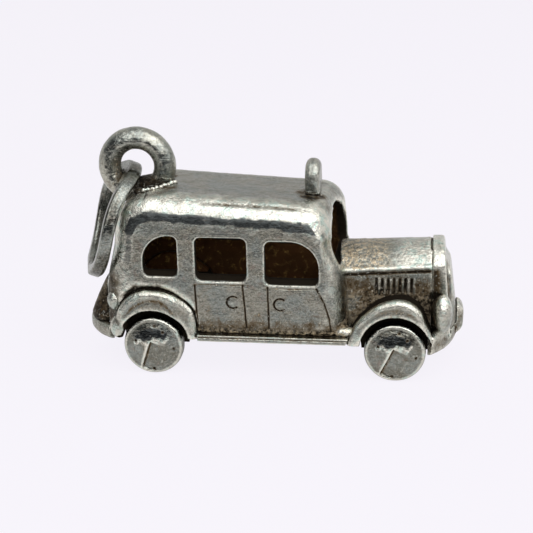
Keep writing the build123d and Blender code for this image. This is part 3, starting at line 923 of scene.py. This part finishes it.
BEADS = (
    (-7.1, -2.3), (-6.85, -2.2), (-6.6, -1.95), (-6.42, -1.72), (-6.2, -1.45), (-6.05, -1.15),
    (-5.85, -0.95), (-5.72, -0.68), (-5.55, -0.4),
)
bail = copy_of_solid("bail_loop", "bail_ring")
melt(bail, 0.06, 3, swell=0.05, lump=0.7)
age(bail, fixed_tree)
points, _ = points_of(bail)
around = 0.3 * step(12.0, 11.2, points[:, 2]) + 0.35 * step(0.1, 0.5, ring_hole(points))
layer(bail, "stain", np.minimum(around, 1))
bail_silver = worn_silver(
    "rubbed bail silver", shine=0.13, pits=0.4, soot=0.55, wear=0.7, tone=PEWTER
)
complete(bail, "charm_body", bail_silver, "silver_bail", "bail_loop")

collar = bead((-6.95, 0.0, 11.0), (1.45, 1.15, 0.5), "bail_solder")
drops = [
    bead((x, y, 11.19 + 0.03 * (number % 2)), (0.13 + 0.03 * (number % 3), 0.12, 0.15))
    for number, (x, y) in enumerate(BEADS)
]
flood = [bead((x - 0.3, y + 0.35, 11.02), (0.42, 0.5, 0.22)) for x, y in BEADS[::2]]
join(collar, *drops, *flood)
melt(collar, 0.05, 2, swell=0.09, lump=0.35)
age(collar, rounds=10, scale=0.02)
points, _ = points_of(collar)
on_row = fading(off_line(points, BEADS, 2), 0.17) * step(11.12, 11.25, points[:, 2])
layer(collar, "stain", 0.85 - 0.8 * on_row)
# a painted highlight on the beads of the row
layer(collar, "rub_and_highlight", 0.7 * on_row)
complete(collar, "charm_body", pitted_silver, "silver_bail")

# ---- The wheels and axles ----
# Each pair of wheels is pressed on a plain pin. A wheel is a thick low-domed disc with a
# tapered V cut from its middle to its rim, its edge rubbed bright and its face pitted, with a
# painted dark reflection over its dome's top and a painted highlight strip below it.
WHEEL_RINGS = (  # radius, and how far out of the wheel's inner face
    (0.2, 1.15), (0.7, 1.08), (1.1, 0.96), (1.4, 0.84), (1.55, 0.77), (1.64, 0.80), (1.73, 0.78),
    (1.81, 0.68), (1.85, 0.55), (1.85, 0.14), (1.78, 0.02), (1.6, 0.0), (0.2, 0.0),
)
WHEEL_INNER_Y = 3.35
WHEEL_TURNS = {  # how far each wheel stands turned, in degrees
    ("front", "right"): 4,
    ("front", "left"): 60,
    ("rear", "right"): 9,
    ("rear", "left"): 200,
}
CUT_ANGLE = math.radians(28)  # from straight down
CUT_TOP = (0.1, 0.25)  # x and z, from the wheel's middle
CUT_DEPTH = 0.2
RIM_RUN = 1.9  # from the cut's top along it, where the cut has run out
PIT_RADIUS, PIT_DEPTH = 0.09, 0.07
PITS = ((-0.8, 0.85), (0.25, -1.5), (-1.25, -0.3), (0.95, 0.55), (-0.35, 1.3))
wheel_silver = worn_silver("rubbed wheel silver", shine=0.1, pits=0.45, soot=0.8, tone=ASH)

bpy.ops.object.select_all(action="DESELECT")
first_radius, first_out = WHEEL_RINGS[0]
bpy.ops.mesh.primitive_circle_add(
    vertices=72, radius=first_radius, fill_type="NGON", rotation=(math.pi / 2, 0, 0)
)
disc = bpy.context.object
bpy.ops.object.transform_apply(rotation=True)
disc.data.transform(Matrix.Translation((0, first_out, 0)))
bpy.ops.object.mode_set(mode="EDIT")
bpy.ops.mesh.select_mode(type="EDGE")
bpy.ops.mesh.select_all(action="SELECT")
bpy.ops.mesh.region_to_loop()
for (radius, out), (wider, further) in zip(WHEEL_RINGS[:-1], WHEEL_RINGS[1:]):
    bpy.ops.mesh.extrude_edges_move(TRANSFORM_OT_translate={"value": (0, further - out, 0)})
    growth = wider / radius
    bpy.ops.transform.resize(value=(growth, 1, growth), center_override=(0, further, 0))
bpy.ops.mesh.edge_face_add()
bpy.ops.mesh.select_all(action="SELECT")
bpy.ops.mesh.normals_make_consistent(inside=False)
bpy.ops.object.mode_set(mode="OBJECT")
melt(disc, 0.05, 3, swell=0.03, lump=0.8)
points, outward = points_of(disc)
down = np.array((math.sin(CUT_ANGLE), 0, -math.cos(CUT_ANGLE)))
beside = np.array((math.cos(CUT_ANGLE), 0, math.sin(CUT_ANGLE)))
from_top = points - np.array((CUT_TOP[0], 0, CUT_TOP[1]))
run, aside = from_top @ down, -(from_top @ beside)
spread = 1.1 - 0.1 * run
steep = step(-0.07, 0.0, aside) * (1 - np.clip(aside / spread, 0, 1))
face = outward[:, 1] > 0.3
cut = steep * step(-0.25, 0.0, run) * face * step(0.0, 0.35, RIM_RUN - run)
points[:, 1] -= CUT_DEPTH * cut
stain_and_shade = 0.45 * fading(aside + 0.02, 0.07) * (cut > 0.3)
dip = 0.1 * np.sin(6 * points[:, 0]) + 0.06 * np.sin(15 * points[:, 0] + 1)
# a painted dark reflection over the dome's upper middle, with a little stain
cap = step(0.5, 0.62, points[:, 2] + dip) * step(1.35, 1.15, np.hypot(points[:, 0], points[:, 2]))
stain_and_shade = np.maximum(stain_and_shade, 0.15 * cap * face)
for place in PITS:
    off = np.hypot(points[:, 0] - place[0], points[:, 2] - place[1])
    hole = face * fading(off, PIT_RADIUS)
    points[:, 1] -= PIT_DEPTH * hole
    stain_and_shade = np.maximum(stain_and_shade, 0.75 * hole)
put_points(disc, points)
layer(disc, "stain", stain_and_shade)
age(disc, rounds=10, scale=0.02)
# a painted highlight strip along the lower edge of that dark reflection
highlight_strip = fading(points[:, 2] + dip - 0.4, 0.11) * (np.abs(points[:, 0]) < 1.1)
layer(disc, "rub_and_highlight", 0.95 * highlight_strip * face)
layer(disc, "painted_dark_reflection", 0.75 * cap * face)
for end, axle_x in AXLES.items():
    coat_solid(f"axle_{end}", wheel_silver)
    for side, outer, half_turn in (("right", -1, math.pi), ("left", 1, 0)):
        wheel = disc.copy()
        wheel.data = disc.data.copy()
        wheel.name = f"wheel_{end}_{side}_disc"
        bpy.context.scene.collection.objects.link(wheel)
        wheel.data.transform(
            Matrix.Translation((axle_x, outer * WHEEL_INNER_Y, AXLE_Z))
            @ Matrix.Rotation(half_turn, 4, "Z")
            @ Matrix.Rotation(math.radians(WHEEL_TURNS[end, side]), 4, "Y")
        )
        complete(wheel, f"{end}_wheels", wheel_silver, "silver_wheels", f"wheel_{end}_{side}")
bpy.data.objects.remove(disc)

# ---- The jump ring ----
# A loose ring of squarish drawn wire, bent out of flat by handling, hangs through the
# bail and swings on it.
HANG = Vector((-8.22, 0.0, 11.87))  # the line that the ring swings about
RING_RADIUS = 3.4
RING_LEAN = math.radians(24.2)  # its lower end leans backwards
RING_TURN = math.radians(15.0)  # about the upright, out of the cab's line
RING_EASE = 0.19  # how much flatter than the solid the wire's even bow is
RING_SKEW = 0.57  # how far the wire's lower half is bent the other way
ring = copy_of_solid("jump_ring", "jump_ring_wire")
melt(ring, 0.065, 1, swell=0.02, lump=0.6)
frame_turn = Matrix.Rotation(RING_TURN, 3, "Z") @ Matrix.Rotation(RING_LEAN, 3, "Y")
turned = np.array(frame_turn)
points, _ = points_of(ring)
local = (points - np.array(HANG)) @ turned
height = np.clip((local[:, 2] + RING_RADIUS) / RING_RADIUS, -1, 1)
fall = 1 - height**2
local[:, 0] += RING_EASE * fall - RING_SKEW * height * fall
put_points(ring, local @ turned.T + np.array(HANG))
age(ring)
wire_silver = worn_silver("drawn silver wire", shine=0.13, pits=0.3, soot=0.7, wear=0.2, tone=DUN)
complete(ring, "hanging_ring", wire_silver, "silver_wire", "jump_ring")

# ---- The studio ----
# A pale floor, a wide soft light overhead, a weaker one beside the bonnet, a dark flag that
# only the silver mirrors and a grey room, seen by a long lens from a little above.
FLOOR_COLOUR = (0.93, 0.905, 0.965)
CHARM_MIDDLE = Vector((0, 0, 0.006))
bpy.ops.mesh.primitive_plane_add(size=3.0)
floor = bpy.context.object
floor.name = "studio_floor"
pale_paper = bpy.data.materials.new("pale paper")
paper = Finish(pale_paper)
lit = paper.add("ShaderNodeBsdfDiffuse", {}, {"Color": (0.86, 0.845, 0.83)})
glow = paper.add("ShaderNodeEmission", {}, {"Color": FLOOR_COLOUR, "Strength": 1.0})
shown = paper.add("ShaderNodeLightPath", output="Is Camera Ray") * 0.95
shown = shown + paper.add("ShaderNodeLightPath", output="Is Glossy Ray") * 0.3
shown = (shown + paper.add("ShaderNodeLightPath", output="Is Transmission Ray") * 0.3).kept()
paper.close_with(paper.add("ShaderNodeMixShader", {}, {0: shown, 1: lit, 2: glow}))
floor.data.materials.append(pale_paper)


def soft_light(name, place, wide, long, power):
    """A soft light that looks at the charm's middle."""
    lamp = bpy.data.lights.new(name, "AREA")
    lamp.shape = "RECTANGLE"
    lamp.size, lamp.size_y, lamp.energy = wide, long, power
    holder = bpy.data.objects.new(name, lamp)
    bpy.context.scene.collection.objects.link(holder)
    holder.location = place
    aim = CHARM_MIDDLE - Vector(place)
    holder.rotation_euler = aim.to_track_quat("-Z", "Y").to_euler()


soft_light("overhead", (0.014, -0.11, 0.135), wide=0.25, long=0.27, power=0.43)
soft_light("beside the bonnet", (0.115, -0.05, 0.1), wide=0.12, long=0.12, power=0.07)

FLAG_PLACE = (0.018, -0.028, 0.0073)
FLAG_WIDTH, FLAG_HEIGHT = 0.13, 0.0126
bpy.ops.mesh.primitive_plane_add(size=1)
flag = bpy.context.object
flag.name = "dark_flag"
flag.data.transform(
    Matrix.Translation(FLAG_PLACE)
    @ Matrix.Rotation(math.pi / 2, 4, "X")
    @ Matrix.Diagonal((FLAG_WIDTH, FLAG_HEIGHT, 1, 1))
)
dark_felt = bpy.data.materials.new("dark felt")
felt = Finish(dark_felt)
felt.close_with(felt.add("ShaderNodeBsdfDiffuse", {}, {"Color": (0.06, 0.065, 0.075)}))
flag.data.materials.append(dark_felt)
flag.visible_camera = False
flag.visible_shadow = False
flag.visible_diffuse = False

room = bpy.data.worlds.new("grey room")
bpy.context.scene.world = room
walls = Finish(room)
way = walls.add("ShaderNodeTexCoord", output="Generated")
above = walls.add("ShaderNodeSeparateXYZ", {}, {0: way}, "Z")
behind = walls.add("ShaderNodeSeparateXYZ", {}, {0: way}, "Y").clear_of(-0.5, 0.5)
haze = 1 - above.clear_of(0.0, 0.14)
dim = walls.blend(behind, (0.045, 0.05, 0.06), (0.66, 0.66, 0.65))
wall_colour = walls.blend(haze * 0.6, dim, (0.7, 0.69, 0.7))
seen = walls.add("ShaderNodeLightPath", output="Is Camera Ray")
wall_colour = walls.blend(seen, wall_colour, FLOOR_COLOUR)
backdrop = walls.add("ShaderNodeBackground", {}, {"Color": wall_colour, "Strength": 1.0})
walls.close_with(backdrop, "ShaderNodeOutputWorld")

TARGET = Vector((-0.054, 0.0, 5.691)) * MM
DISTANCE = 80 * MM
AZIMUTH, ELEVATION, ROLL = (math.radians(angle) for angle in (7.5, 20.0, 1.178))
SENSOR_WIDTH = 36
FOCAL_LENGTH, FRAME_WIDTH = 1280, 533  # in one measure
back = Vector(
    (
        math.sin(AZIMUTH) * math.cos(ELEVATION),
        -math.cos(AZIMUTH) * math.cos(ELEVATION),
        math.sin(ELEVATION),
    )
)
right = Vector((math.cos(AZIMUTH), math.sin(AZIMUTH), 0))
up = back.cross(right)
level_right = math.cos(ROLL) * right - math.sin(ROLL) * up
level_up = math.cos(ROLL) * up + math.sin(ROLL) * right
lens = bpy.data.cameras.new("long lens")
lens.sensor_width = SENSOR_WIDTH
lens.lens = SENSOR_WIDTH * FOCAL_LENGTH / FRAME_WIDTH
lens.clip_start, lens.clip_end = MM, 10
camera = bpy.data.objects.new("camera", lens)
bpy.context.scene.collection.objects.link(camera)
camera.matrix_world = Matrix.Translation(TARGET + back * DISTANCE) @ Matrix(
    (level_right, level_up, back)
).transposed().to_4x4()
bpy.context.scene.camera = camera
bpy.context.scene.view_settings.view_transform = "Standard"
